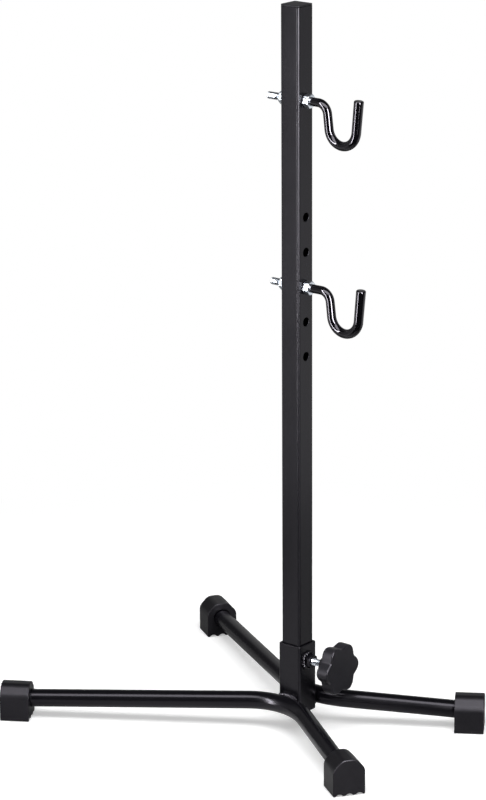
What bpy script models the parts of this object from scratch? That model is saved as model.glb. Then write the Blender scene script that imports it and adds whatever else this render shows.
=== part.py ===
"""Bicycle floor stand: a square post in a welded four-foot base, with two screw-in J hooks.

Metres, +Z up. The floor is z = 0 and the world origin is the middle of the footprint. Everything is
built round the post's axis: +X is the side of the hooks and the knob, +Y is the stand's left.
"""

import math

import bmesh
import bpy
from mathutils import Matrix, Vector

# Clearances
GAP = 0.0003              # between pieces that touch
POST_PLAY = 0.0005        # between the post and the inside of the socket
HOLE_PLAY = 0.001         # between a stud and the hole it passes through
CUT_OVER = 0.002          # how far a cutter runs past the face it cuts

# Post and cap
POST_SIDE = 0.025
POST_WALL = 0.0015
POST_CORNER = 0.0025
POST_LENGTH = 0.7928
CAP_RIM = 0.0018
CAP_CHAMFER = 0.0005
CAP_PLUG_DEPTH = 0.016
CAP_PLUG_CORNER = 0.0007
CAP_WALL = 0.0016
CAP_RIB = 0.0005
CAP_RIB_PITCH = 0.0045
CAP_RIB_COUNT = 3

# Socket
SOCKET_WALL = 0.002
SOCKET_CORNER = 0.0028
SOCKET_LENGTH = 0.080
SOCKET_FLOOR = 0.002
SOCKET_BELOW_TUBE = 0.0035

# Base tubes and the arms that they make
TUBE_DIAMETER = 0.020
TUBE_WALL = 0.0015
TUBE_BEND_RADIUS = 0.075
CROSSING_HEIGHT = 0.0335  # of the point where a tube's two straight centre lines would cross
TUBE_HEIGHT_AT_FOOT = 0.0225
REAR_ARM_LENGTH = 0.296   # from that point to the foot
FRONT_ARM_LENGTH = 0.170
REAR_ARM_ANGLE = 32.0     # degrees away from the stand's middle line
FRONT_ARM_ANGLE = 33.4

# Feet
FOOT_WIDTH = 0.0363
FOOT_HEIGHT = 0.0408
FOOT_CORNER = 0.0168          # rounding of the top's two corners
FOOT_LENGTH = 0.033
FOOT_END_WALL = 0.005
FOOT_EDGE = 0.0012
FOOT_MOUTH_CHAMFER = 0.0006
SOLE_CORNER = 0.0014
GROOVE_COUNT = 3
GROOVE_WIDTH = 0.0088
GROOVE_DEPTH = 0.0024

# Thread, nuts and the row of holes
STUD_DIAMETER = 0.008
STUD_CHAMFER = 0.0008
NUT_FLATS = 0.014
NUT_HEIGHT = 0.0075
NUT_CHAMFER = 0.0008
UPPER_NUT_TURN = -19.0        # how far each hook's nuts happen to be turned, in degrees
LOWER_NUT_TURN = -17.0
UPPER_HOLE_BELOW_TOP = 0.1009
ROW_BELOW_TOP = 0.2279        # the highest hole of the row
HOLE_PITCH = 0.0388
HOLE_COUNT = 5
LOWER_HOOK_HOLE = 2           # which hole of the row, counted down from 0

# Hooks
ROD_DIAMETER = 0.0072
STUD_BEHIND_POST = 0.0263
HOOK_NECK = 0.0170            # straight length in front of the post before the first bend
NECK_BEND_RADIUS = 0.0125
NECK_BEND = 83.0
HOOK_INNER_LEG = 0.0160
THROAT_RADIUS = 0.0184
THROAT_BEND = 167.5
HOOK_OUTER_LEG = 0.0330
COATING_WALL_AT_NUT = 0.0008
COATING_WALL_AT_TIP = 0.0015
COATING_TIP = 0.0022
LOWER_HOOK_OUT = 0.0039       # how much further the lower hook stands out

# Clamp screw and knob
KNOB_BELOW_SOCKET_TOP = 0.0185
KNOB_REACH = 0.0645           # from the post's axis to the knob's face
KNOB_DIAMETER = 0.0585
KNOB_THICKNESS = 0.0150
KNOB_LOBES = 6
KNOB_LOBE_DEPTH = 0.0052
KNOB_LOBE_POWER = 0.8         # under 1 the lobes are broad and the hollows narrow
KNOB_EDGE = 0.0020
KNOB_HUB_DIAMETER = 0.023     # where it meets the knob
KNOB_HUB_END = 0.017          # its diameter at the screw
KNOB_HUB_LENGTH = 0.0135
KNOB_HUB_EDGE = 0.0010
SCREW_HEAD_HEIGHT = 0.0053
KNOB_OVER_HEAD = 0.0025

# Weld beads
WELD_RADIUS = 0.0018
WELD_TAPER = 0.6              # the thickness at a bead's ends as a share of its middle
NUT_WELD_RADIUS = 0.0014
WELD_RIPPLE = 0.00022
WELD_LENGTH = 0.023
WELD_RIPPLES = 7

# Roundness of the model
ROUND_SIDES = 24
HOLLOW_SIDES = 16
TUBE_SIDES = 28
WELD_SIDES = 8
KNOB_SIDES = 72
EDGE_STEPS = 3                # facets across a rounded edge
DOME_STEPS = 9                # facets in each rounding of the foot's top
TUBE_BEND_STEP = 6.0          # degrees of bend in each facet
HOOK_BEND_STEP = 9.0
SHARP_ANGLE = 32.0


def clear_scene():
    for obj in list(bpy.data.objects):
        bpy.data.objects.remove(obj, do_unlink=True)


# Materials
def make_material(name, colour, roughness, metallic=0.0, coat=0.0):
    material = bpy.data.materials.new(name)
    material.use_nodes = True
    shader = material.node_tree.nodes["Principled BSDF"]
    shader.inputs["Base Color"].default_value = (*colour, 1.0)
    shader.inputs["Roughness"].default_value = roughness
    shader.inputs["Metallic"].default_value = metallic
    shader.inputs["Coat Weight"].default_value = coat
    material.diffuse_color = (*colour, 1.0)
    return material


# Objects and modifiers
def add_object(name, data, material, parent, location=(0, 0, 0), turn=0.0):
    """A piece from a mesh or a curve, turned about its own upright axis."""
    if not data.materials:
        data.materials.append(material)
    if isinstance(data, bpy.types.Mesh):
        data.shade_smooth()
        data.set_sharp_from_angle(angle=math.radians(SHARP_ANGLE))
    obj = bpy.data.objects.new(name, data)
    bpy.context.collection.objects.link(obj)
    obj.parent = parent
    obj.location = location
    obj.rotation_euler.z = turn
    return obj


def add_empty(name, parent, location=(0, 0, 0)):
    empty = bpy.data.objects.new(name, None)
    empty.empty_display_size = 0.02
    bpy.context.collection.objects.link(empty)
    empty.parent = parent
    empty.location = location
    return empty


def add_cutter(name, mesh, parent, location=(0, 0, 0)):
    cutter = bpy.data.objects.new(name, mesh)
    bpy.context.collection.objects.link(cutter)
    cutter.parent = parent
    cutter.location = location
    cutter.hide_render = True
    cutter.display_type = "WIRE"
    return cutter


def cut(obj, cutter):
    modifier = obj.modifiers.new(cutter.name, "BOOLEAN")
    modifier.operation = "DIFFERENCE"
    modifier.solver = "EXACT"
    modifier.object = cutter


def give_wall(obj, wall):
    """Turns an open outer skin into a tube, with its wall inside the skin."""
    modifier = obj.modifiers.new("wall", "SOLIDIFY")
    modifier.thickness = wall
    modifier.offset = -1
    modifier.use_even_offset = True


# Shapes
def finish_mesh(bm, name):
    bmesh.ops.recalc_face_normals(bm, faces=bm.faces)
    mesh = bpy.data.meshes.new(name)
    bm.to_mesh(mesh)
    bm.free()
    return mesh


def extrude_through(name, rings, ends="filled"):
    """Extrudes a face from ring to ring, each with as many points as the next.

    The two end rings are then filled, left open, or joined to each other.
    """
    bm = bmesh.new()
    bmesh.ops.create_circle(bm, cap_ends=True, segments=len(rings[0]), radius=1)
    bm.faces.ensure_lookup_table()
    face = bm.faces[0]
    for vert, point in zip(face.verts, rings[0]):
        vert.co = point
    for ring in rings[1:]:
        face = bmesh.ops.extrude_discrete_faces(bm, faces=[face])["faces"][0]
        for vert, point in zip(face.verts, ring):
            vert.co = point
    if ends != "filled":
        bmesh.ops.delete(bm, geom=[face], context="FACES_ONLY")
    rim = [edge for edge in bm.edges if edge.is_boundary]
    if ends == "joined":
        bmesh.ops.bridge_loops(bm, edges=rim)
    if ends == "filled":
        bmesh.ops.holes_fill(bm, edges=rim)
    return finish_mesh(bm, name)


def rounded_square(side, corner, z):
    """A square ring at height z with its corners rounded."""
    inner = side / 2 - corner
    ring = []
    for quarter in range(4):
        middle = math.radians(45 + 90 * quarter)
        cx = math.copysign(inner, math.cos(middle))
        cy = math.copysign(inner, math.sin(middle))
        for step in range(EDGE_STEPS + 1):
            turn = math.radians(90 * quarter + 90 * step / EDGE_STEPS)
            ring.append(Vector((cx + corner * math.cos(turn), cy + corner * math.sin(turn), z)))
    return ring


def square_tube_mesh(name, side, corner, bottom, length):
    """The outer skin of an upright square tube, open at both ends."""
    rings = [rounded_square(side, corner, z) for z in (bottom, bottom + length)]
    return extrude_through(name, rings, ends="open")


def ring_on_x(x, radius, sides=ROUND_SIDES, start=0.0):
    """A ring round the X axis. radius is a length, or a function of the turn round the axis."""
    ring = []
    for i in range(sides):
        turn = start + math.tau * i / sides
        r = radius(turn) if callable(radius) else radius
        ring.append(Vector((x, r * math.cos(turn), r * math.sin(turn))))
    return ring


def hexagon(flats, phase=0.0, limit=None):
    """The radius of a hexagon with one flat facing the phase, cut back to a circle where limit is given."""
    def radius(turn):
        off = (turn - phase + math.pi / 6) % (math.pi / 3) - math.pi / 6
        r = flats / 2 / math.cos(off)
        return min(r, limit) if limit else r
    return radius


def rod_on_x(name, sections, sides=ROUND_SIDES):
    """A turned, hexagonal or lobed bar: sections are (x, radius) pairs from one end to the other."""
    return extrude_through(name, [ring_on_x(x, radius, sides) for x, radius in sections])


def round_bar(bm, near, far, radius, sides):
    """A straight round bar between two points."""
    line = far - near
    place = Matrix.Translation((near + far) / 2) @ line.to_track_quat("Z", "Y").to_matrix().to_4x4()
    bmesh.ops.create_cone(
        bm, cap_ends=True, segments=sides, radius1=radius, radius2=radius, depth=line.length, matrix=place
    )


def bars_mesh(name, ends, radius, sides):
    """Several straight round bars in one cutter."""
    bm = bmesh.new()
    for near, far in ends:
        round_bar(bm, near, far, radius, sides)
    return finish_mesh(bm, name)


def round_curve(name, path, radii, sides, caps=True, cyclic=False):
    """A round bar along a path, with its own radius at each point."""
    curve = bpy.data.curves.new(name, "CURVE")
    curve.dimensions = "3D"
    curve.bevel_depth = max(radii)
    curve.bevel_resolution = sides // 2 - 2
    curve.use_fill_caps = caps
    spline = curve.splines.new("POLY")
    spline.points.add(len(path) - 1)
    for point, place, radius in zip(spline.points, path, radii):
        point.co = (*place, 1)
        point.radius = radius / curve.bevel_depth
    spline.use_cyclic_u = cyclic
    return curve


def curve_to_mesh(curve):
    """The same bar as a closed mesh, which a Boolean can cut or cut with."""
    holder = bpy.data.objects.new(curve.name, curve)
    bm = bmesh.new()
    bm.from_mesh(holder.to_mesh())
    bpy.data.objects.remove(holder)
    bmesh.ops.remove_doubles(bm, verts=bm.verts, dist=GAP / 100)
    return finish_mesh(bm, curve.name)


# Post
def post_cap_mesh():
    """A rim as wide as the post over a hollow plug with ribs. z = 0 is the rim's underside."""
    plug = POST_SIDE - 2 * POST_WALL - 2 * GAP
    core = plug - 2 * CAP_RIB
    hollow = core - 2 * CAP_WALL
    rings = [
        rounded_square(POST_SIDE - 2 * CAP_CHAMFER, POST_CORNER - CAP_CHAMFER / 2, CAP_RIM),
        rounded_square(POST_SIDE, POST_CORNER, CAP_RIM - CAP_CHAMFER),
        rounded_square(POST_SIDE, POST_CORNER, 0),
        rounded_square(core, CAP_PLUG_CORNER, 0),
    ]
    for rib in reversed(range(CAP_RIB_COUNT)):
        z = -CAP_PLUG_DEPTH + CAP_RIB + rib * CAP_RIB_PITCH
        rings.append(rounded_square(core, CAP_PLUG_CORNER, z + 3 * CAP_RIB))
        rings.append(rounded_square(plug, CAP_PLUG_CORNER, z + 2 * CAP_RIB))
        rings.append(rounded_square(plug, CAP_PLUG_CORNER, z + CAP_RIB))
        rings.append(rounded_square(core, CAP_PLUG_CORNER, z))
    rings += [
        rounded_square(core, CAP_PLUG_CORNER, -CAP_PLUG_DEPTH),
        rounded_square(hollow, CAP_PLUG_CORNER, -CAP_PLUG_DEPTH),
        rounded_square(hollow, CAP_PLUG_CORNER, -CAP_WALL),
    ]
    return extrude_through("post_cap", rings)


def post_holes_mesh(heights):
    """A bar along X for each pair of holes through the post's front and back walls."""
    reach = Vector((POST_SIDE / 2 + CUT_OVER, 0, 0))
    ends = []
    for height in heights:
        middle = Vector((0, 0, height))
        ends.append((middle - reach, middle + reach))
    return bars_mesh("post_holes", ends, STUD_DIAMETER / 2 + HOLE_PLAY, ROUND_SIDES)


# Socket
SOCKET_SIDE = POST_SIDE + 2 * POST_PLAY + 2 * SOCKET_WALL
SOCKET_BOTTOM = CROSSING_HEIGHT - TUBE_DIAMETER / 2 - SOCKET_BELOW_TUBE
POST_BOTTOM = SOCKET_BOTTOM + SOCKET_FLOOR + GAP
CLAMP_HEIGHT = SOCKET_BOTTOM + SOCKET_LENGTH - KNOB_BELOW_SOCKET_TOP


def socket_floor_mesh():
    side = SOCKET_SIDE - 2 * SOCKET_WALL - 2 * GAP
    corner = SOCKET_CORNER - SOCKET_WALL + GAP
    rings = [rounded_square(side, corner, z) for z in (SOCKET_BOTTOM, SOCKET_BOTTOM + SOCKET_FLOOR)]
    return extrude_through("socket_floor", rings)


def screw_hole_mesh():
    """The hole in the socket's front wall."""
    outer = SOCKET_SIDE / 2
    near = Vector((outer - SOCKET_WALL - CUT_OVER, 0, CLAMP_HEIGHT))
    far = Vector((outer + CUT_OVER, 0, CLAMP_HEIGHT))
    return bars_mesh("screw_hole", [(near, far)], STUD_DIAMETER / 2 + HOLE_PLAY, ROUND_SIDES)


# Base
def arm_angle(front, left):
    """The arm's direction seen from above, as a turn from +X."""
    angle = math.radians(FRONT_ARM_ANGLE) if front else math.pi - math.radians(REAR_ARM_ANGLE)
    return angle if left else -angle


def arm_direction(front, left):
    angle = arm_angle(front, left)
    return Vector((math.cos(angle), math.sin(angle), 0))


def arm_length(front):
    return FRONT_ARM_LENGTH if front else REAR_ARM_LENGTH


def arm_slope(front):
    """How far the tube's centre drops for each metre along the arm."""
    return (CROSSING_HEIGHT - TUBE_HEIGHT_AT_FOOT) / arm_length(front)


def tube_direction(front, left):
    return arm_direction(front, left) - Vector((0, 0, arm_slope(front)))


def arms_crossing(left):
    """Where the centre lines of one tube's two arms cross, so that its bend just meets the socket."""
    rear = tube_direction(False, left).normalized()
    front = tube_direction(True, left).normalized()
    middle = (rear + front).normalized()
    setback = TUBE_BEND_RADIUS / math.sin(rear.angle(middle)) - TUBE_BEND_RADIUS
    bend_y = SOCKET_SIDE / 2 + GAP + TUBE_DIAMETER / 2
    y = bend_y - abs(middle.y) * setback
    return Vector((0, y if left else -y, CROSSING_HEIGHT))


def bent_path(start, corner, end, radius):
    """Straight, bend, straight: the corner between two straights rounded to a radius."""
    a = (start - corner).normalized()
    b = (end - corner).normalized()
    middle = (a + b).normalized()
    half = a.angle(middle)
    centre = corner + middle * (radius / math.sin(half))
    first = corner + a * (radius / math.tan(half)) - centre
    axis = a.cross(b).normalized()
    turn = math.pi - 2 * half
    count = max(2, math.ceil(math.degrees(turn) / TUBE_BEND_STEP))
    points = [start]
    for i in range(count + 1):
        points.append(centre + Matrix.Rotation(-turn * i / count, 3, axis) @ first)
    points.append(end)
    return points


def base_tube_path(left):
    """The tube ends inside its two feet, just short of their end walls."""
    ends = []
    crossing = arms_crossing(left)
    for front in (False, True):
        reach = arm_length(front) + FOOT_LENGTH - FOOT_END_WALL - GAP
        ends.append(crossing + tube_direction(front, left) * reach)
    return bent_path(ends[0], crossing, ends[1], TUBE_BEND_RADIUS)


def base_tube_skin(name, left):
    path = base_tube_path(left)
    return round_curve(name, path, [TUBE_DIAMETER / 2] * len(path), TUBE_SIDES, caps=False)


# Feet, each built along +X from its mouth, on the floor
def foot_section():
    """The foot seen along its arm, as (across, height) points: small sole corners, straight sides, a round top."""
    half = FOOT_WIDTH / 2
    inner = half - FOOT_CORNER
    arcs = (
        (SOLE_CORNER - half, SOLE_CORNER, SOLE_CORNER, 180, 90, EDGE_STEPS),
        (half - SOLE_CORNER, SOLE_CORNER, SOLE_CORNER, 270, 90, EDGE_STEPS),
        (inner, FOOT_HEIGHT - FOOT_CORNER, FOOT_CORNER, 0, 90, DOME_STEPS),
        (-inner, FOOT_HEIGHT - FOOT_CORNER, FOOT_CORNER, 90, 90, DOME_STEPS),
    )
    points = []
    for y, z, radius, first, sweep, steps in arcs:
        for step in range(steps + 1):
            turn = math.radians(first + sweep * step / steps)
            points.append((y + radius * math.cos(turn), z + radius * math.sin(turn)))
    return points


def foot_mesh():
    """The section from a chamfered mouth to a rounded outer end."""
    stations = [(0.0, FOOT_MOUTH_CHAMFER), (FOOT_MOUTH_CHAMFER, 0.0)]
    for step in range(EDGE_STEPS + 1):
        turn = math.radians(90 * step / EDGE_STEPS)
        stations.append((FOOT_LENGTH - FOOT_EDGE * (1 - math.sin(turn)), FOOT_EDGE * (1 - math.cos(turn))))
    middle = FOOT_HEIGHT / 2
    rings = []
    for x, inset in stations:
        shrink = 1 - inset / (FOOT_WIDTH / 2)
        rings.append([Vector((x, y * shrink, middle + (z - middle) * shrink)) for y, z in foot_section()])
    return extrude_through("foot", rings)


def foot_grooves_mesh():
    """Bars that cut round-bottomed grooves along the sole."""
    radius = (GROOVE_WIDTH ** 2 / 4 + GROOVE_DEPTH ** 2) / (2 * GROOVE_DEPTH)
    tooth = (FOOT_WIDTH - GROOVE_COUNT * GROOVE_WIDTH) / (GROOVE_COUNT + 1)
    ends = []
    for groove in range(GROOVE_COUNT):
        y = -FOOT_WIDTH / 2 + tooth + GROOVE_WIDTH / 2 + groove * (tooth + GROOVE_WIDTH)
        near = Vector((-CUT_OVER, y, GROOVE_DEPTH - radius))
        ends.append((near, near + Vector((FOOT_LENGTH + 2 * CUT_OVER, 0, 0))))
    return bars_mesh("foot_grooves", ends, radius, ROUND_SIDES)


def foot_bore_mesh(name, front):
    """The blind hole that the tube's end goes into, along the tube's own slope."""
    line = Vector((1, 0, -arm_slope(front)))
    mouth = Vector((0, 0, TUBE_HEIGHT_AT_FOOT))
    ends = [(mouth - line * CUT_OVER, mouth + line * (FOOT_LENGTH - FOOT_END_WALL))]
    return bars_mesh(name, ends, TUBE_DIAMETER / 2 + GAP, TUBE_SIDES)


def foot_place(front, left):
    """The middle of the foot's mouth, on the floor."""
    place = arms_crossing(left) + arm_direction(front, left) * arm_length(front)
    return Vector((place.x, place.y, 0))


def foot_reach(front):
    """How far along X a foot's rounded outer corner is from the post's axis."""
    place = foot_place(front, True)
    along = arm_direction(front, True)
    reach = place + along * (FOOT_LENGTH - FOOT_EDGE)
    return abs(reach.x) + (FOOT_WIDTH / 2 - FOOT_EDGE) * along.y + FOOT_EDGE


# Hooks
def walk(start, heading, moves):
    """A path in the XZ plane: each move is a straight length, or a bend of a radius through degrees."""
    here = Vector(start)
    heading = math.radians(heading)
    path = [here.copy()]
    for length, bend in moves:
        if not bend:
            here = here + Vector((math.cos(heading), 0, math.sin(heading))) * length
            path.append(here.copy())
            continue
        turn = math.radians(bend)
        side = math.copysign(1, turn)
        centre = here + Vector((-math.sin(heading), 0, math.cos(heading))) * length * side
        count = max(2, math.ceil(abs(bend) / HOOK_BEND_STEP))
        for i in range(1, count + 1):
            angle = heading + turn * i / count
            path.append(centre - Vector((-math.sin(angle), 0, math.cos(angle))) * length * side)
        heading += turn
        here = path[-1].copy()
    return path


NUT_NEAR = POST_SIDE / 2 + GAP
NUT_FAR = NUT_NEAR + NUT_HEIGHT
COATING_START = NUT_FAR + GAP


def hook_bend(out):
    """The bar's centre line from the first bend to its end, which the coating covers."""
    moves = [
        (POST_SIDE / 2 + HOOK_NECK + out, 0),
        (NECK_BEND_RADIUS, -NECK_BEND),
        (HOOK_INNER_LEG, 0),
        (THROAT_RADIUS, THROAT_BEND),
        (HOOK_OUTER_LEG, 0),
    ]
    return walk((0, 0, 0), 0, moves)[1:]


def hook_rod_curve(name, out):
    """A threaded stud through the post and both nuts, then the thinner bar bent to a hook."""
    stud = STUD_DIAMETER / 2
    rod = ROD_DIAMETER / 2
    tail = -(POST_SIDE / 2 + STUD_BEHIND_POST) + out
    path = [Vector((x, 0, 0)) for x in (tail, tail + STUD_CHAMFER, COATING_START - GAP, COATING_START)]
    radii = [stud - STUD_CHAMFER, stud, stud, rod]
    bend = hook_bend(out)
    return round_curve(name, path + bend, radii + [rod] * len(bend), ROUND_SIDES)


def hook_coating_mesh(name, out):
    """The dipped skin's outside, a little thicker at the tip than at the nut, with a rounded tip."""
    path = [Vector((COATING_START, 0, 0))] + hook_bend(out)
    lengths = [0.0]
    for a, b in zip(path, path[1:]):
        lengths.append(lengths[-1] + (b - a).length)
    growth = (COATING_WALL_AT_TIP - COATING_WALL_AT_NUT) / lengths[-1]
    radii = [ROD_DIAMETER / 2 + GAP + COATING_WALL_AT_NUT + growth * length for length in lengths]
    onward = (path[-1] - path[-2]).normalized()
    end = path[-1]
    widest = radii[-1]
    corner = COATING_TIP / 2
    for step in range(1, EDGE_STEPS + 1):
        turn = math.radians(90 * step / EDGE_STEPS)
        path.append(end + onward * (COATING_TIP - corner + corner * math.sin(turn)))
        radii.append(widest - corner * (1 - math.cos(turn)))
    return curve_to_mesh(round_curve(name, path, radii, ROUND_SIDES))


def hook_hollow_mesh(name, out):
    """The bar's own shape with its clearance, which hollows the coating out."""
    path = [Vector((COATING_START - CUT_OVER, 0, 0))] + hook_bend(out)
    path[-1] = path[-1] + (path[-1] - path[-2]).normalized() * GAP
    radius = (ROD_DIAMETER / 2 + GAP) / math.cos(math.pi / HOLLOW_SIDES)
    return curve_to_mesh(round_curve(name, path, [radius] * len(path), HOLLOW_SIDES))


def nut_mesh(name, phase=0.0):
    """A hexagon nut from x = 0 to its height, with chamfered corners and a clear bore."""
    full = hexagon(NUT_FLATS, phase)
    face = hexagon(NUT_FLATS, phase, NUT_FLATS / 2)
    bore = STUD_DIAMETER / 2 + GAP
    stations = [
        (0, bore), (0, face), (NUT_CHAMFER, full),
        (NUT_HEIGHT - NUT_CHAMFER, full), (NUT_HEIGHT, face), (NUT_HEIGHT, bore),
    ]
    rings = [ring_on_x(x, radius, start=phase) for x, radius in stations]
    return extrude_through(name, rings, ends="joined")


# Clamp screw and knob
KNOB_BACK = KNOB_REACH - KNOB_THICKNESS
HUB_BACK = KNOB_BACK - KNOB_HUB_LENGTH
HEAD_NEAR = KNOB_REACH - KNOB_OVER_HEAD - SCREW_HEAD_HEIGHT - GAP


def lobed(inset):
    """The knob's outline: rounded lobes with hollows between, drawn in by an inset."""
    def radius(turn):
        wave = 0.5 + 0.5 * math.cos(KNOB_LOBES * turn)
        return KNOB_DIAMETER / 2 - inset - KNOB_LOBE_DEPTH * (1 - wave ** KNOB_LOBE_POWER)
    return radius


def clamp_screw_mesh():
    """Its tip bears on the post, and its hexagon head is moulded into the knob."""
    stud = STUD_DIAMETER / 2
    tip = POST_SIDE / 2 + GAP
    head = hexagon(NUT_FLATS)
    return rod_on_x("clamp_screw", [
        (tip, stud - STUD_CHAMFER),
        (tip + STUD_CHAMFER, stud),
        (HEAD_NEAR, stud),
        (HEAD_NEAR, head),
        (HEAD_NEAR + SCREW_HEAD_HEIGHT, head),
    ])


def star_knob_mesh():
    end = KNOB_HUB_END / 2
    sections = [
        (HUB_BACK, end - KNOB_HUB_EDGE),
        (HUB_BACK + KNOB_HUB_EDGE, end),
        (KNOB_BACK, KNOB_HUB_DIAMETER / 2),
    ]
    quarter = [math.radians(90 * step / EDGE_STEPS) for step in range(EDGE_STEPS + 1)]
    for turn in quarter:
        sections.append((KNOB_BACK + KNOB_EDGE * (1 - math.cos(turn)), lobed(KNOB_EDGE * (1 - math.sin(turn)))))
    for turn in quarter:
        sections.append((KNOB_REACH - KNOB_EDGE * (1 - math.sin(turn)), lobed(KNOB_EDGE * (1 - math.cos(turn)))))
    return rod_on_x("star_knob", sections, KNOB_SIDES)


def knob_pocket_mesh():
    """The hollow that holds the screw's shank and head, round so that the knob can be turned alone."""
    bore = STUD_DIAMETER / 2 + GAP
    pocket = NUT_FLATS / 2 / math.cos(math.pi / 6) + GAP
    return rod_on_x("knob_pocket", [
        (HUB_BACK - CUT_OVER, bore),
        (HEAD_NEAR - GAP, bore),
        (HEAD_NEAR - GAP, pocket),
        (HEAD_NEAR + SCREW_HEAD_HEIGHT + GAP, pocket),
    ])


# Weld beads
def path_at_x(path, x):
    """The point of a path at one x."""
    for near, far in zip(path, path[1:]):
        if near.x <= x <= far.x:
            return near.lerp(far, (x - near.x) / (far.x - near.x))
    return path[-1]


def weld_on_tube(name, left, above):
    """A rippled bead in the crease where a base tube meets the socket's side."""
    tube_path = base_tube_path(left)
    reach = TUBE_DIAMETER / 2 + WELD_RADIUS + WELD_RIPPLE + GAP
    bead_y = SOCKET_SIDE / 2 + GAP + WELD_RADIUS + WELD_RIPPLE
    count = 4 * WELD_RIPPLES
    path, radii = [], []
    for i in range(count + 1):
        share = i / count
        x = (share - 0.5) * WELD_LENGTH
        tube = path_at_x(tube_path, x)
        rise = math.sqrt(reach ** 2 - (abs(tube.y) - bead_y) ** 2)
        path.append(Vector((x, math.copysign(bead_y, tube.y), tube.z + (rise if above else -rise))))
        swell = WELD_TAPER + (1 - WELD_TAPER) * math.sin(math.pi * share)
        radii.append((WELD_RADIUS + WELD_RIPPLE * math.sin(math.tau * WELD_RIPPLES * share)) * swell)
    return round_curve(name, path, radii, WELD_SIDES)


def weld_on_nut():
    """A rippled bead round the welded nut, on the socket's front face."""
    corner = NUT_FLATS / 2 / math.cos(math.pi / 6)
    ring_radius = corner + GAP + NUT_WELD_RADIUS + WELD_RIPPLE
    x = SOCKET_SIDE / 2 + GAP + NUT_WELD_RADIUS + WELD_RIPPLE
    ripples = 2 * WELD_RIPPLES
    count = 4 * ripples
    path, radii = [], []
    for i in range(count):
        turn = math.tau * i / count
        path.append(Vector((x, ring_radius * math.cos(turn), ring_radius * math.sin(turn))))
        radii.append(NUT_WELD_RADIUS + WELD_RIPPLE * math.sin(ripples * turn))
    return round_curve("nut_weld", path, radii, WELD_SIDES, cyclic=True)


def build():
    clear_scene()
    powder = make_material("black_powder_coat", (0.014, 0.014, 0.016), 0.42)
    rubber = make_material("black_rubber", (0.020, 0.020, 0.021), 0.62)
    plastic = make_material("black_plastic", (0.018, 0.018, 0.019), 0.50)
    vinyl = make_material("black_dipped_vinyl", (0.008, 0.008, 0.009), 0.16, coat=0.4)
    zinc = make_material("zinc_plate", (0.66, 0.69, 0.71), 0.30, metallic=1.0)
    weld = make_material("coated_weld", (0.012, 0.012, 0.013), 0.30)

    # The post's axis stands where the footprint's middle is the world origin
    stand = add_empty("stand_axis", None, ((foot_reach(False) - foot_reach(True)) / 2, 0, 0))

    # Base: socket, tubes, welds and feet
    socket_skin = square_tube_mesh("socket", SOCKET_SIDE, SOCKET_CORNER, SOCKET_BOTTOM, SOCKET_LENGTH)
    socket = add_object("socket", socket_skin, powder, stand)
    give_wall(socket, SOCKET_WALL)
    cut(socket, add_cutter("screw_hole", screw_hole_mesh(), stand))
    add_object("socket_floor", socket_floor_mesh(), powder, stand)
    for left in (False, True):
        side = "left" if left else "right"
        name = f"{side}_base_tube"
        tube = add_object(name, base_tube_skin(name, left), powder, stand)
        give_wall(tube, TUBE_WALL)
        for above in (True, False):
            name = f"{side}_weld_{'top' if above else 'bottom'}"
            add_object(name, weld_on_tube(name, left, above), weld, stand)
    foot_block = foot_mesh()
    grooves = foot_grooves_mesh()
    for front in (False, True):
        for left in (False, True):
            name = f"{'front' if front else 'rear'}_{'left' if left else 'right'}_foot"
            foot = add_object(name, foot_block, rubber, stand, foot_place(front, left), arm_angle(front, left))
            cut(foot, add_cutter(name + "_grooves", grooves, foot))
            bore = name + "_bore"
            cut(foot, add_cutter(bore, foot_bore_mesh(bore, front), foot))

    # Clamp: the welded nut, the screw through it and the knob, all on one axis
    clamp_axis = (0, 0, CLAMP_HEIGHT)
    nut_place = (SOCKET_SIDE / 2 + GAP, 0, CLAMP_HEIGHT)
    add_object("knob_nut", nut_mesh("knob_nut"), powder, stand, nut_place)
    add_object("nut_weld", weld_on_nut(), weld, stand, clamp_axis)
    screw = add_object("clamp_screw", clamp_screw_mesh(), zinc, stand, clamp_axis)
    knob = add_object("star_knob", star_knob_mesh(), plastic, screw)
    cut(knob, add_cutter("knob_pocket", knob_pocket_mesh(), screw))

    # Post, its holes and its cap
    post_skin = square_tube_mesh("post", POST_SIDE, POST_CORNER, 0, POST_LENGTH)
    post = add_object("post", post_skin, powder, stand, (0, 0, POST_BOTTOM))
    give_wall(post, POST_WALL)
    upper_height = POST_LENGTH - UPPER_HOLE_BELOW_TOP
    row = [POST_LENGTH - ROW_BELOW_TOP - i * HOLE_PITCH for i in range(HOLE_COUNT)]
    cut(post, add_cutter("post_holes", post_holes_mesh([upper_height, *row]), post))
    add_object("post_cap", post_cap_mesh(), plastic, post, (0, 0, POST_LENGTH + GAP))

    # Hooks, each with its origin on its stud's axis where that crosses the post's axis
    places = (
        ("upper", upper_height, 0.0, math.radians(UPPER_NUT_TURN)),
        ("lower", row[LOWER_HOOK_HOLE], LOWER_HOOK_OUT, math.radians(LOWER_NUT_TURN)),
    )
    for name, height, out, phase in places:
        axis = add_empty(f"{name}_hook_axis", post, (0, 0, height))
        add_object(f"{name}_hook_rod", hook_rod_curve(f"{name}_hook_rod", out), zinc, axis)
        coating = add_object(f"{name}_hook_coating", hook_coating_mesh(f"{name}_hook_coating", out), vinyl, axis)
        cut(coating, add_cutter(f"{name}_hook_hollow", hook_hollow_mesh(f"{name}_hook_hollow", out), axis))
        nut = nut_mesh(f"{name}_hook_nut", phase)
        add_object(f"{name}_hook_nut", nut, zinc, axis, (NUT_NEAR, 0, 0))
        add_object(f"{name}_back_nut", nut, zinc, axis, (-NUT_FAR, 0, 0))


build()
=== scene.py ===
import math

import bmesh
import bpy
import numpy as np
from mathutils import Matrix, Vector


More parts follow.
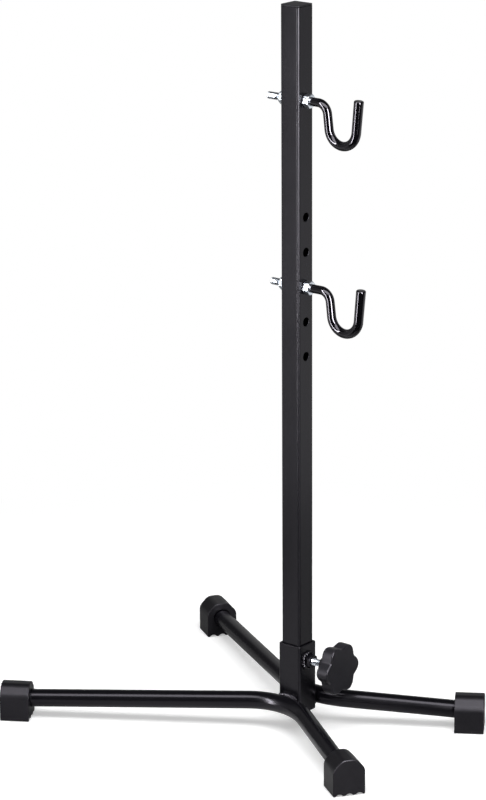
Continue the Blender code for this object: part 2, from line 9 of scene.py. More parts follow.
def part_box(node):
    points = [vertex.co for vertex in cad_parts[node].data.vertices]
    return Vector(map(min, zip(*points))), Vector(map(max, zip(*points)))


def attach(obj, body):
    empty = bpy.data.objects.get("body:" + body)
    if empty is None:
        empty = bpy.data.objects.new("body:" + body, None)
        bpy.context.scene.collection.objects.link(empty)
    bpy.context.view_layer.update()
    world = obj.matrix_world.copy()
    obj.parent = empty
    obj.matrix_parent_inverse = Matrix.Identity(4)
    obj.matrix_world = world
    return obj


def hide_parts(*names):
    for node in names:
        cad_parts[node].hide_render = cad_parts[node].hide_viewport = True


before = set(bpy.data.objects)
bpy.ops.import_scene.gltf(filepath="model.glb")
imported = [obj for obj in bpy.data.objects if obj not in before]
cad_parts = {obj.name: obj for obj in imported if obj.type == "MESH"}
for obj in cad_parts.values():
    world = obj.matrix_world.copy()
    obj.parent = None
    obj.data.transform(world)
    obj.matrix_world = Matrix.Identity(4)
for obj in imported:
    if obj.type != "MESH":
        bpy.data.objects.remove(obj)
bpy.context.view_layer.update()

# Every shape below is worked out in millimetres from the post's axis, and moved to the CAD's place when its
# mesh is made
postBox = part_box("post")
postAxis = np.array([(postBox[0].x + postBox[1].x) / 2, 0.0, 0.0])
tau = math.tau


def addObject(name, data):
    made = bpy.data.objects.new(name, data)
    bpy.context.scene.collection.objects.link(made)
    return made


# Degrees and metres; focal is in pixels, of a picture whose longer side is longSide
cameraSettings = dict(
    turn=39.75, rise=16.42, distance=3.75082, focal=3436.1, longSide=800,
    side=-0.05907, height=0.38086, roll=-0.34, sensor=36, near=0.1, far=60,
)


def makeCamera(s):
    # The target lies to the side of the post's axis, and back is the way from it to the camera
    turn, rise = math.radians(s["turn"]), math.radians(s["rise"])
    target = Vector((s["side"] * math.cos(turn), s["side"] * math.sin(turn), s["height"])) + Vector(postAxis)
    back = Vector((math.sin(turn) * math.cos(rise), -math.cos(turn) * math.cos(rise), math.sin(rise)))
    right = Vector((math.cos(turn), math.sin(turn), 0))
    up = back.cross(right)
    lens = bpy.data.cameras.new("camera")
    lens.sensor_width = s["sensor"]
    lens.lens = s["sensor"] * s["focal"] / s["longSide"]
    lens.clip_start, lens.clip_end = s["near"], s["far"]
    camera = addObject("camera", lens)
    look = Matrix((right, up, back)).transposed().to_4x4()
    roll = Matrix.Rotation(math.radians(s["roll"]), 4, "Z")
    camera.matrix_world = Matrix.Translation(target + back * s["distance"]) @ look @ roll
    bpy.context.scene.camera = camera


makeCamera(cameraSettings)
print("camera set")


class Flow:
    # A value inside a material: each operator adds the Math node that works it out
    def __init__(self, net, socket):
        self.net = net
        self.socket = socket

    def work(self, operation, first, second):
        return self.net.node("ShaderNodeMath", {"operation": operation}, {0: first, 1: second})

    def __add__(self, other):
        return self.work("ADD", self, other)

    def __radd__(self, other):
        return self.work("ADD", other, self)

    def __sub__(self, other):
        return self.work("SUBTRACT", self, other)

    def __rsub__(self, other):
        return self.work("SUBTRACT", other, self)

    def __mul__(self, other):
        return self.work("MULTIPLY", self, other)

    def __rmul__(self, other):
        return self.work("MULTIPLY", other, self)

    def within(self, low, high):
        # 0 below low, 1 above high, a smooth step between
        smooth = {"interpolation_type": "SMOOTHSTEP"}
        values = {"Value": self, "From Min": low, "From Max": high}
        return self.net.node("ShaderNodeMapRange", smooth, values)


class Net:
    # The nodes of a material or of the world
    def __init__(self, tree):
        self.tree = tree
        self.tree.nodes.clear()

    def node(self, kind, settings=None, values=None, out=0):
        made = self.tree.nodes.new(kind)
        for key, value in (settings or {}).items():
            setattr(made, key, value)
        for key, value in (values or {}).items():
            if isinstance(value, Flow):
                self.tree.links.new(value.socket, made.inputs[key])
            else:
                made.inputs[key].default_value = value
        return Flow(self, made.outputs[out])

    def ray(self, kind):
        # 1 for rays of this kind, 0 for all others
        return self.node("ShaderNodeLightPath", out=f"Is {kind} Ray")

    def along(self, place, way):
        # How far a place lies along a way: their dot product
        dot = {"operation": "DOT_PRODUCT"}
        return self.node("ShaderNodeVectorMath", dot, {0: place, 1: way}, out="Value")

    def end(self, shader, kind="ShaderNodeOutputMaterial"):
        self.tree.links.new(shader.socket, self.tree.nodes.new(kind).inputs["Surface"])


class Finish(Net):
    # A material being put together
    def __init__(self, name):
        self.material = bpy.data.materials.new(name)
        self.material.use_nodes = True
        super().__init__(self.material.node_tree)
        self.place = self.node("ShaderNodeTexCoord", out="Object")

    def noise(self, size, detail=3.0, roughness=0.55):
        # size is the pattern's grain in metres
        values = {"Vector": self.place, "Scale": 1 / size, "Detail": detail, "Roughness": roughness}
        return self.node("ShaderNodeTexNoise", None, values)

    def blend(self, mask, first, second):
        # Each end is a colour of three numbers or comes from another node
        first, second = (end if isinstance(end, Flow) else [*end, 1] for end in (first, second))
        return self.node("ShaderNodeMix", {"data_type": "RGBA"}, {0: mask, 6: first, 7: second}, out=2)

    def shaded(self, mask, s):
        # The finish's colour, darker where the mask is low and lighter where it is high
        darker, lighter = ([c * share for c in s["colour"]] for share in (s["darker"], s["lighter"]))
        return self.blend(mask, darker, lighter)

    def bump(self, height, depth, under=None):
        # depth is the height in metres that the pattern's 0 to 1 stands for
        values = {"Height": height, "Distance": depth, "Strength": 1.0}
        if under:
            values["Normal"] = under
        return self.node("ShaderNodeBump", None, values)

    def wear(self):
        # The share of edge at a point, which each piece's grid carries
        return self.node("ShaderNodeAttribute", {"attribute_name": "edge"}, out="Fac")

    def close(self, s, colour, roughness, normal):
        # What is the same all over stands on the shader's own sockets
        fixed = {"metallic": "Metallic", "specular": "Specular IOR Level", "tint": "Specular Tint"}
        values = {"Base Color": colour, "Roughness": roughness, "Normal": normal}
        values.update({socket: s[key] for key, socket in fixed.items() if key in s})
        self.end(self.node("ShaderNodeBsdfPrincipled", None, values))
        return self.material


coolTint = (0.93, 0.89, 1.0, 1)  # the black finishes have a faintly violet shine

# In a finish, a pattern is (grain in metres, detail, roughness), a Span is where it fades in, a Depth is its
# bump's height in metres, a Matt is how much it changes the roughness and a Share is how much it colours
powderLook = dict(
    colour=(0.0030, 0.0028, 0.0042), rubbed=(0.030, 0.030, 0.034), roughness=0.22, specular=0.26,
    tint=coolTint, cloud=(0.06, 3.0), darker=0.88, lighter=1.14, cloudMatt=0.10,
    peel=(0.0011, 2.0), peelDepth=0.000022, grain=(0.00028, 2.0), grainDepth=0.000006, grainMatt=0.12,
    speck=(0.0016, 4.0, 0.7), speckSpan=(0.52, 0.66), patch=(0.02, 2.0), patchSpan=(0.40, 0.62),
    rubShare=0.75, edgeMatt=0.12,
)


def powderCoat(name, s, gloss=0.0):
    # Baked powder: soft orange peel with a finer grain on it, slow cloudiness, edges more matt and rubbed a
    # little lighter. gloss is how much smoother than usual it lies.
    f = Finish(name)
    peel, grain, cloud = f.noise(*s["peel"]), f.noise(*s["grain"]), f.noise(*s["cloud"])
    speck, patch = (f.noise(*s[key]).within(*s[key + "Span"]) for key in ("speck", "patch"))
    colour = f.blend(f.wear() * speck * patch * s["rubShare"], f.shaded(cloud, s), s["rubbed"])
    roughness = s["roughness"] - gloss + (cloud - 0.5) * s["cloudMatt"] + (grain - 0.5) * s["grainMatt"]
    roughness = roughness + f.wear() * s["edgeMatt"]
    normal = f.bump(grain, s["grainDepth"], f.bump(peel, s["peelDepth"]))
    return f.close(s, colour, roughness, normal)


zincLook = dict(
    bright=(0.76, 0.80, 0.85), dull=(0.42, 0.46, 0.53), roughness=0.21, metallic=1.0,
    crystalScale=700.0, crystalSmooth=0.6, crystalShare=0.5, cloud=(0.004, 4.0, 0.6), cloudShare=0.7,
    cloudDepth=0.00003, dullSpan=(0.42, 0.80), dullShare=0.65, dullMatt=0.14,
    fine=(0.00035, 3.0), fineDepth=0.000006, fineMatt=0.10,
)


def zincPlate(name, s):
    # Passivated zinc: cloudy crystals under a very fine grain, darker and more matt where it has dulled
    f = Finish(name)
    cells = {"Vector": f.place, "Scale": s["crystalScale"], "Smoothness": s["crystalSmooth"]}
    crystals = f.node("ShaderNodeTexVoronoi", {"feature": "SMOOTH_F1"}, cells)
    cloud, fine = f.noise(*s["cloud"]), f.noise(*s["fine"])
    dull = (cloud * s["cloudShare"] + crystals * s["crystalShare"]).within(*s["dullSpan"])
    colour = f.blend(dull * s["dullShare"], s["bright"], s["dull"])
    roughness = s["roughness"] + dull * s["dullMatt"] + (fine - 0.5) * s["fineMatt"]
    normal = f.bump(fine, s["fineDepth"], f.bump(cloud, s["cloudDepth"]))
    return f.close(s, colour, roughness, normal)


vinylLook = dict(
    colour=(0.0020, 0.0019, 0.0027), roughness=0.10, specular=0.42, tint=coolTint,
    waves=(0.012, 1.5), wavesDepth=0.00012,
    smear=(0.02, 3.0), smearMatt=0.05, dust=(0.0009, 2.0), dustSpan=(0.62, 0.74), dustShare=0.02,
    dustColour=(0.2, 0.2, 0.2),
)


def dippedVinyl(name, s):
    # Dipped and cured: a wet gloss with slow waves where it ran, and a little dust
    f = Finish(name)
    dust = f.noise(*s["dust"]).within(*s["dustSpan"])
    colour = f.blend(dust * s["dustShare"], s["colour"], s["dustColour"])
    roughness = s["roughness"] + (f.noise(*s["smear"]) - 0.5) * s["smearMatt"]
    normal = f.bump(f.noise(*s["waves"]), s["wavesDepth"])
    return f.close(s, colour, roughness, normal)


rubberLook = dict(
    colour=(0.0050, 0.0048, 0.0062), pale=(0.030, 0.030, 0.029), roughness=0.37, specular=0.23,
    tint=coolTint, flow=(0.014, 4.0, 0.6), darker=0.85, lighter=1.2, flowMatt=0.10, flowDepth=0.00015,
    grain=(0.0005, 3.0, 0.7), grainMatt=0.14, grainDepth=0.00003,
    dust=(0.003, 5.0, 0.7), dustSpan=(0.50, 0.75), dustOnEdges=0.7, dustAnywhere=0.3, dustShare=0.35,
)


def footRubber(name, s):
    # Moulded rubber: fine spark-eroded grain, flow marks, a little dust, most of it held at the edges
    f = Finish(name)
    grain, flow = f.noise(*s["grain"]), f.noise(*s["flow"])
    held = f.wear() * s["dustOnEdges"] + s["dustAnywhere"]
    dust = held * f.noise(*s["dust"]).within(*s["dustSpan"])
    colour = f.blend(dust * s["dustShare"], f.shaded(flow, s), s["pale"])
    roughness = s["roughness"] + (flow - 0.5) * s["flowMatt"] + (grain - 0.5) * s["grainMatt"]
    normal = f.bump(grain, s["grainDepth"], f.bump(flow, s["flowDepth"]))
    return f.close(s, colour, roughness, normal)


plasticLook = dict(
    colour=(0.0190, 0.0185, 0.0220), pale=(0.052, 0.052, 0.054), roughness=0.33, specular=0.145,
    tint=coolTint, cloud=(0.010, 3.0), darker=0.90, lighter=1.12, cloudDepth=0.00008,
    grain=(0.00042, 3.0, 0.65), grainMatt=0.16, grainDepth=0.000018,
    speck=(0.0012, 4.0, 0.7), speckSpan=(0.50, 0.68), rubShare=0.35, edgeGloss=0.08,
)
capLook = dict(plasticLook, colour=(0.007, 0.0068, 0.0082), roughness=0.50, specular=0.16)


def mouldedPlastic(name, s):
    # Moulded nylon: an even fine texture, faint sink clouds, edges polished by hands
    f = Finish(name)
    grain, cloud = f.noise(*s["grain"]), f.noise(*s["cloud"])
    rub = f.wear() * f.noise(*s["speck"]).within(*s["speckSpan"])
    colour = f.blend(rub * s["rubShare"], f.shaded(cloud, s), s["pale"])
    roughness = s["roughness"] + (grain - 0.5) * s["grainMatt"] - f.wear() * s["edgeGloss"]
    normal = f.bump(grain, s["grainDepth"], f.bump(cloud, s["cloudDepth"]))
    return f.close(s, colour, roughness, normal)


finishes = {
    "powder_coat": powderCoat("powderCoat", powderLook),
    "coated_weld": powderCoat("coatedWeld", powderLook, gloss=0.15),
    "zinc_plate": zincPlate("zincPlate", zincLook),
    "dipped_vinyl": dippedVinyl("dippedVinyl", vinylLook),
    "foot_rubber": footRubber("footRubber", rubberLook),
    "black_plastic": mouldedPlastic("mouldedPlastic", plasticLook),
}
capFinish = mouldedPlastic("capPlastic", capLook)
print("finishes made")


def grid(points, edge=0.0, rowsMeet=False, columnsMeet=True):
    # A sheet of points, (rows, columns, 3); edge says how exposed each point is to rubbing
    shape = points.shape[:2]
    edge = np.asarray(edge, float)
    edge = edge[:, None] if edge.ndim == 1 else edge
    return dict(points=points, edge=np.broadcast_to(edge, shape), rowsMeet=rowsMeet, columnsMeet=columnsMeet)


def quadsOf(sheet, first):
    # Each quad joins a point to the next in its row and in the row after
    rows, columns = sheet["points"].shape[:2]
    i = np.arange(rows if sheet["rowsMeet"] else rows - 1)[:, None]
    j = np.arange(columns if sheet["columnsMeet"] else columns - 1)[None, :]
    right, below = (j + 1) % columns, (i + 1) % rows
    corners = [i * columns + j, i * columns + right, below * columns + right, below * columns + j]
    return first + np.stack(corners, -1).reshape(-1, 4)


skinSettings = dict(merge=2e-6, sliver=1e-6, flatWeight=90)  # the first two in metres


def makePiece(name, sheets, slotName, body, nodes, sharp=50, flats=False, finish=None, s=skinSettings):
    # Joins the sheets along the points that they share and turns the closed skin outwards
    counts = [sheet["edge"].size for sheet in sheets]
    firsts = np.cumsum([0] + counts[:-1])
    points = np.concatenate([sheet["points"].reshape(-1, 3) for sheet in sheets]) * 0.001 + postAxis
    edges = np.concatenate([sheet["edge"].ravel() for sheet in sheets])
    quads = np.concatenate([quadsOf(sheet, first) for sheet, first in zip(sheets, firsts)])
    mesh = bpy.data.meshes.new(name)
    mesh.vertices.add(len(points))
    mesh.vertices.foreach_set("co", points.astype(np.float32).ravel())
    mesh.loops.add(quads.size)
    mesh.loops.foreach_set("vertex_index", quads.astype(np.int32).ravel())
    mesh.polygons.add(len(quads))
    mesh.polygons.foreach_set("loop_start", np.arange(0, quads.size, 4, dtype=np.int32))
    mesh.attributes.new("edge", "FLOAT", "POINT").data.foreach_set("value", edges.astype(np.float32))
    mesh.update(calc_edges=True)
    skin = bmesh.new()
    skin.from_mesh(mesh)
    bmesh.ops.remove_doubles(skin, verts=skin.verts, dist=s["merge"])
    bmesh.ops.dissolve_degenerate(skin, edges=skin.edges, dist=s["sliver"])
    bmesh.ops.recalc_face_normals(skin, faces=skin.faces)
    skin.to_mesh(mesh)
    skin.free()
    mesh.polygons.foreach_set("use_smooth", np.ones(len(mesh.polygons), bool))
    mesh.set_sharp_from_angle(angle=math.radians(sharp))
    mesh.materials.append(finish or finishes[slotName])
    piece = addObject(name, mesh)
    if flats:
        weighted = piece.modifiers.new("evenFlats", "WEIGHTED_NORMAL")
        weighted.keep_sharp = True
        weighted.weight = s["flatWeight"]
    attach(piece, body)
    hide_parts(*nodes)


def quarter(steps):
    # The angles of a quarter turn, cut into steps
    return np.linspace(0, math.pi / 2, steps + 1)


def rounding(steps):
    # A rounded edge of radius 1: what is left of it one way, what is gone the other way, exposed to rubbing
    return [(1 - math.sin(a), 1 - math.cos(a), math.sin(2 * a)) for a in quarter(steps)]


def around(columns):
    # The angles of a full turn, the last one a step short of the first
    return np.arange(columns) / columns * tau


def stacked(x, y, z):
    # Points from their coordinates, each of which may be shared by a row, a column or all
    return np.stack(np.broadcast_arrays(x, y, z), -1)


def turned(x, radius, angle):
    # A profile turned round the X axis: (x, radius cos, radius sin)
    return stacked(x, radius * np.cos(angle), radius * np.sin(angle))


def carried(path, across, radius, columns):
    # A circle carried along a path, square to it: path + radius (normal cos + binormal sin). The radius is a
    # number, one a row or one a point.
    path, across = np.asarray(path, float), np.asarray(across, float)
    ahead = np.gradient(path, axis=0)
    ahead /= np.linalg.norm(ahead, axis=1, keepdims=True)
    normal = np.cross(across, ahead)
    normal /= np.linalg.norm(normal, axis=1, keepdims=True)
    binormal = np.cross(ahead, normal)
    angle = around(columns)[None, :, None]
    spoke = normal[:, None, :] * np.cos(angle) + binormal[:, None, :] * np.sin(angle)
    radius = np.asarray(radius, float)
    radius = radius if radius.ndim == 2 else radius.reshape(-1, 1)
    return path[:, None, :] + radius[:, :, None] * spoke


def pole(point, columns):
    # A row that is all one point
    return np.broadcast_to(point, (1, columns, 3))


def unpacked(rows, columns):
    # Rows of (place along the axis, radius, exposed to rubbing); the first two may differ between columns
    x, radius = (np.array([row[k] + np.zeros(columns) for row in rows]) for k in (0, 1))
    return x, radius, np.array([row[2] for row in rows], float)


tubeSteps = dict(cell=8, rim=4, corner=6, flat=4)  # how many parts each stretch of a square tube is cut into


def squareTube(half, wall, corner, bottom, top, rim, cell, holeRadius, holes, steps=tubeSteps):
    # A loop of (depth into the wall, height) goes up the outside, over the rounded end and down the inside.
    # Each point is carried round a rounded square whose corners keep one centre. Round each hole, a square
    # cell of the wall is drawn in to the hole's circle, rolled over its rim and drawn out on the inside.
    flat, arc, tiny = half - corner, quarter(steps["rim"]), 1e-6
    levels = [np.array([bottom + rim, top - rim])]
    levels += [np.linspace(h - cell, h + cell, steps["cell"] + 1) for hs in holes.values() for h in hs]
    levels = np.unique(np.round(np.concatenate(levels), 6))
    # The wall's rounded end is a quarter circle out of either side
    sunk, cut = rim * (1 - np.cos(arc)), rim * (1 - np.sin(arc))
    endDepth = np.concatenate([sunk[1:], wall - sunk[:0:-1]])
    endDrop = np.concatenate([cut[1:], cut[:0:-1]])

    def loopOver(low, high, overTop, overBottom):
        out = levels[(levels >= low - tiny) & (levels <= high + tiny)]
        depth, rise = [0 * out], [out]
        if overTop:
            depth, rise = depth + [endDepth], rise + [top - endDrop]
        depth, rise = depth + [0 * out + wall], rise + [out[::-1]]
        if overBottom:
            depth, rise = depth + [wall - endDepth], rise + [bottom + endDrop]
        return np.concatenate(depth), np.concatenate(rise)

    def rubbed(depth):
        return np.where((depth > tiny) & (depth < wall - tiny), 1.0, 0.0)

    # From one face with holes round to the other: centres (x, y) and the way that the wall faces
    bend, run = quarter(steps["corner"]), np.linspace(-flat, flat, steps["flat"] + 1)
    spans = [
        ([-flat, -flat], [cell, flat], [math.pi, math.pi]),
        (0 * bend - flat, 0 * bend + flat, math.pi - bend),
        (run, 0 * run + flat, 0 * run + math.pi / 2),
        (0 * bend + flat, 0 * bend + flat, math.pi / 2 - bend),
        ([flat, flat], [flat, cell], [0.0, 0.0]),
    ]
    centreX, centreY, facing = (np.concatenate(parts) for parts in zip(*spans))
    depth, rise = loopOver(bottom, top, True, True)
    reach = (corner - depth)[:, None]
    onCorner = np.abs(np.sin(2 * facing))
    sheets = []
    for side in (1, -1):
        x, y = centreX + reach * np.cos(facing), side * (centreY + reach * np.sin(facing))
        edge = np.maximum(rubbed(depth)[:, None], onCorner * (depth < wall / 2)[:, None])
        sheets.append(grid(stacked(x, y, rise[:, None]), edge, rowsMeet=True, columnsMeet=False))

    # A hole's cell: its square, and rings that are a share of the square and the rest of a circle
    across = np.linspace(-cell, cell, steps["cell"] + 1)
    run, far = across[:-1], np.full(steps["cell"], cell)
    fourSides = (run, -far), (far, run), (-run, far), (-far, -run)
    square = np.concatenate([np.stack(places, -1) for places in fourSides])
    circle = square / np.linalg.norm(square, axis=1, keepdims=True)
    outOf = np.array([1.0, 0.55, 0.15])
    wide = 0 * outOf + holeRadius + rim
    share = np.concatenate([outOf, np.zeros(2 * len(arc)), outOf[::-1]])[:, None, None]
    radius = np.concatenate([wide, holeRadius + cut, holeRadius + cut[::-1], wide])[:, None, None]
    into = np.concatenate([0 * outOf, sunk, wall - sunk[::-1], 0 * outOf + wall])
    flatPlace = share * square + (1 - share) * radius * circle

    for face in (1, -1):
        heights = sorted(holes.get(face, []))

        def strip(depth, rise, meets):
            points = stacked((face * (half - depth))[:, None], across, rise[:, None])
            sheets.append(grid(points, rubbed(depth), rowsMeet=meets, columnsMeet=False))

        if not heights:
            strip(*loopOver(bottom, top, True, True), True)
            continue
        strip(*loopOver(heights[-1] + cell, top, True, False), False)
        depthLow, riseLow = loopOver(bottom, heights[0] - cell, False, True)
        start = int(np.sum((levels <= heights[0] - cell + tiny)))
        strip(np.roll(depthLow, -start), np.roll(riseLow, -start), False)
        for lower, upper in zip(heights, heights[1:]):
            between = levels[(levels >= lower + cell - tiny) & (levels <= upper - cell + tiny)]
            strip(np.zeros(len(between)), between, False)
            strip(np.full(len(between), wall), between, False)
        for height in heights:
            x = (face * (half - into))[:, None]
            sheets.append(grid(stacked(x, flatPlace[..., 0], height + flatPlace[..., 1]), rubbed(into)))
    return sheets


postSettings = dict(
    half=12.5, wall=1.5, corner=2.5, bottom=22.3, top=815.1, rim=0.35, cell=9.0, holeRadius=5.0,
)
postHoles = [714.2, 587.2, 548.4, 509.6, 470.8, 432.0]
makePiece(
    "postTube", squareTube(**postSettings, holes={1: postHoles, -1: postHoles}),
    "powder_coat", "post", ["post"], flats=True,
)

socketSettings = dict(
    half=15.0, wall=2.0, corner=2.8, bottom=20.0, top=100.0, rim=0.7, cell=9.0, holeRadius=5.0,
)
clampHeight = 81.5
makePiece(
    "socketSleeve", squareTube(**socketSettings, holes={1: [clampHeight]}),
    "powder_coat", "base", ["socket"], flats=True,
)
print("square tubes made")


def squareRings(rows, steps=5):
    # Rounded squares stacked up Z: each row is (half side, corner radius, height, exposed to rubbing)
    rows = np.array(rows, float)
    turn = np.concatenate([quarter(steps) + k * math.pi / 2 for k in range(4)])
    signX = np.repeat([1, -1, -1, 1], steps + 1)
    signY = np.repeat([1, 1, -1, -1], steps + 1)
    half, corner, height = rows[:, 0:1], rows[:, 1:2], rows[:, 2:3]
    x = signX * (half - corner) + corner * np.cos(turn)
    y = signY * (half - corner) + corner * np.sin(turn)
    return grid(stacked(x, y, height), rows[:, 3])


capSettings = dict(
    half=12.5, corner=2.5, rimBottom=815.4, top=817.2, edge=0.6, crown=0.12, lip=0.15, innerCorner=1.2,
    core=10.2, plug=10.7, plugCorner=0.7, hollow=8.6, hollowCorner=0.6, depth=16.0, roof=1.6,
    ribs=3, ribPitch=4.5, firstRib=0.5, ribEdge=0.5,
)


def capRows(s):
    # A crowned top, a rounded edge, a small lip, then the plug with its ribs and the hollow up inside it
    rim, lip, core, inCorner = s["rimBottom"], s["lip"], s["core"], s["plugCorner"]
    rows = [(0, 0, s["top"], 0), (s["half"] * 0.5, s["innerCorner"], s["top"] - s["crown"] * 0.15, 0)]
    for left, gone, rub in rounding(4):
        inset, height = s["edge"] * left, s["top"] - s["crown"] - s["edge"] * gone
        rows.append((s["half"] - inset, s["corner"] - inset * 0.6, height, rub))
    rows += [(s["half"], s["corner"], rim + lip, 1), (s["half"] - lip, s["corner"] - lip, rim, 1)]
    rows.append((core, inCorner, rim, 0))
    for rib in reversed(range(s["ribs"])):
        z = rim - s["depth"] + s["firstRib"] + rib * s["ribPitch"]
        outline = ((core, 3), (s["plug"], 2), (s["plug"], 1), (core, 0))
        rows += [(half, inCorner, z + level * s["ribEdge"], 0) for half, level in outline]
    low, roof = rim - s["depth"], rim - s["roof"]
    rows += [(core, inCorner, low, 0), (s["hollow"], s["hollowCorner"], low, 0)]
    rows += [(s["hollow"], s["hollowCorner"], roof, 0), (0, 0, roof, 0)]
    return rows


makePiece(
    "topCap", [squareRings(capRows(capSettings))],
    "black_plastic", "post", ["post_cap"], flats=True, finish=capFinish,
)

plateSettings = dict(half=12.7, corner=1.1, bottom=20.0, top=22.0, chamfer=0.3, flatCorner=0.9)


def plateRows(s):
    # A flat square with a small chamfer along its edges
    bottom, top, chamfer = s["bottom"], s["top"], s["chamfer"]
    flat = s["half"] - chamfer
    rows = [(0, 0, bottom, 0), (flat, s["flatCorner"], bottom, 0)]
    rows += [(s["half"], s["corner"], z, 1) for z in (bottom + chamfer, top - chamfer)]
    return rows + [(flat, s["flatCorner"], top, 0), (0, 0, top, 0)]


plate = [squareRings(plateRows(plateSettings))]
makePiece("socketPlate", plate, "powder_coat", "base", ["socket_floor"], flats=True)
print("cap and plate made")


# front and rear are an arm's length, from where the centre lines cross to its foot, and its angle to X
baseSettings = dict(
    diameter=20.0, wall=1.5, bend=75.0, crossY=10.97, crossZ=33.5, footZ=22.5,
    front=(170.0, 33.4), rear=(296.0, 32.0), inFoot=27.7, bendRows=25, armRows=13, columns=56,
)


def armFacts(front, left, s=baseSettings):
    # Where an arm's centre lines cross, its heading on the floor, its length and its drop for each millimetre
    length, angle = s["front"] if front else s["rear"]
    turn = math.radians(angle if front else 180 - angle) * (1 if left else -1)
    crossing = np.array([0, s["crossY"] if left else -s["crossY"], s["crossZ"]])
    ahead = np.array([math.cos(turn), math.sin(turn), 0])
    return crossing, ahead, length, (s["crossZ"] - s["footZ"]) / length


def basePath(left, s=baseSettings):
    # Straight, bend, straight: the bend is an arc that touches both arms
    lines = []
    for front in (False, True):
        crossing, ahead, length, drop = armFacts(front, left)
        lines.append((ahead - [0, 0, drop], length + s["inFoot"]))
    a, b = (line / np.linalg.norm(line) for line, reach in lines)
    middle = (a + b) / np.linalg.norm(a + b)
    half = math.acos(a @ middle)
    centre = crossing + middle * s["bend"] / math.sin(half)
    first = crossing + a * s["bend"] / math.tan(half) - centre
    axis = np.cross(a, b) / np.linalg.norm(np.cross(a, b))
    swing = -np.linspace(0, math.pi - 2 * half, s["bendRows"])[:, None]
    arc = centre + first * np.cos(swing) + np.cross(axis, first) * np.sin(swing)
    ends = [crossing + line * reach for line, reach in lines]
    run = np.linspace(0, 1, s["armRows"])[:, None]
    rear = ends[0] + (arc[0] - ends[0]) * run[:-1]
    ahead = arc[-1] + (ends[1] - arc[-1]) * run[1:]
    return np.concatenate([rear, arc, ahead]), axis


def hollowTube(path, across, s=baseSettings):
    # Out along the outside and back along the bore, closed into one skin
    outer = s["diameter"] / 2
    skin = carried(path, across, outer, s["columns"])
    bore = carried(path, across, outer - s["wall"], s["columns"])
    return [grid(np.concatenate([skin, bore[::-1]]), rowsMeet=True)]


sides = (("right", False), ("left", True))
for side, left in sides:
    makePiece(side + "BaseTube", hollowTube(*basePath(left)), "powder_coat", "base", [side + "_base_tube"])

# top is half the flat top's width before it is rounded, shoulder how far the sides slant down from it
footSettings = dict(
    width=36.3, height=40.8, top=7.6, shoulder=11.2, round=11.0, corner=1.4, length=33.0, endWall=5.0,
    edge=1.2, mouth=0.6, bore=10.3, lip=1.1, grooves=3, grooveWidth=8.8, grooveDepth=2.4,
    soleColumns=97, roundColumns=13, cornerSteps=5, edgeSteps=6,
)


def footOutline(s):
    # The foot seen along its arm, as (across, height): the sole, a small corner, the side, shoulder and top.
    # The arches of the grooves are circles: height = root(radius squared - across squared) - what is below.
    half, corner, bend, depth = s["width"] / 2, s["corner"], s["round"], s["grooveDepth"]
    sole = np.linspace(-half + corner, half - corner, s["soleColumns"])
    # Up one side: the rounding between side and shoulder, then the one between shoulder and flat top
    slant, turnUp = math.atan2(half - s["top"], s["shoulder"]), quarter(s["cornerSteps"])[1:-1]
    spans = (0, slant), (slant, math.pi / 2)
    turn = np.concatenate([np.linspace(*span, s["roundColumns"]) for span in spans])
    low = s["height"] - s["shoulder"] - bend * math.tan(slant / 2)
    inner = s["top"] - bend * math.tan(math.pi / 4 - slant / 2)
    middleY = np.repeat([half - bend, inner], s["roundColumns"])
    middleZ = np.repeat([low, s["height"] - bend], s["roundColumns"])
    upY = np.concatenate([half - corner + corner * np.sin(turnUp), middleY + bend * np.cos(turn)])
    upZ = np.concatenate([corner - corner * np.cos(turnUp), middleZ + bend * np.sin(turn)])
    y, z = np.concatenate([sole, upY, -upY[::-1]]), np.concatenate([0 * sole, upZ, upZ[::-1]])
    onSole = np.arange(len(y)) < len(sole)
    tooth = (s["width"] - s["grooves"] * s["grooveWidth"]) / (s["grooves"] + 1)
    archRadius = (s["grooveWidth"] ** 2 / 4 + depth ** 2) / (2 * depth)
    grooves = np.arange(s["grooves"])[:, None]
    middles = -half + tooth + s["grooveWidth"] / 2 + grooves * (tooth + s["grooveWidth"])
    rise = np.sqrt(np.maximum(archRadius ** 2 - (y - middles) ** 2, 0)) - (archRadius - depth)
    return y, z, onSole, np.where(onSole, np.maximum(rise.max(axis=0), 0), 0)


